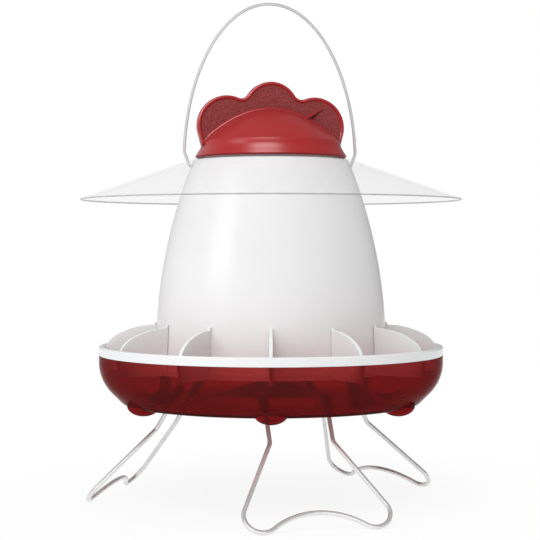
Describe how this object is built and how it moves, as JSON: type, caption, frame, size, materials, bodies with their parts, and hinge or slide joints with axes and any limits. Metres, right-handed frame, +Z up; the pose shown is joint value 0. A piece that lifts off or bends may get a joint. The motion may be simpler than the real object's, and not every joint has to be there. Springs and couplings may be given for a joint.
{
  "type": "poultry feeder",
  "caption": "Bell-shaped poultry feeder with a see-through dish, feed grid, clear rain shield, comb lid, wire bail and three wire legs.",
  "frame": {"origin": "on the floor under the feeder's axis, at the middle of the rain shield's outline", "axes": "+Z up along the hopper's axis, X along the comb and the bail's pivot axis, -Y the front, towards the leg loop named leg_front"},
  "size_m": [0.3546, 0.3546, 0.4653],
  "materials": {
    "clear_red_plastic": "transparent dark red",
    "white_plastic": "gloss white",
    "milky_plastic": "slightly translucent white",
    "clear_plastic": "clear",
    "red_plastic": "gloss red, fine grain in the comb's panels",
    "bail_wire": "pale zinc",
    "leg_wire": "bright zinc"
  },
  "bodies": {
    "base": {"pan": "clear_red_plastic", "feed_grid": "white_plastic", "hopper": "milky_plastic", "rain_shield": "clear_plastic", "leg_front": "leg_wire", "leg_right": "leg_wire", "leg_left": "leg_wire"},
    "lid": {"lid": "red_plastic"},
    "bail": {"bail": "bail_wire"}
  },
  "joints": [
    {"name": "bail_swing", "type": "hinge", "parent": "base", "child": "bail", "pos_m": [0, 0, 0.3116], "axis": [1, 0, 0], "range_deg": [-65, 65]},
    {"name": "lid_lift", "type": "slide", "parent": "base", "child": "lid", "axis": [0, 0, 1], "range_m": [0, 0.03]}
  ]
}
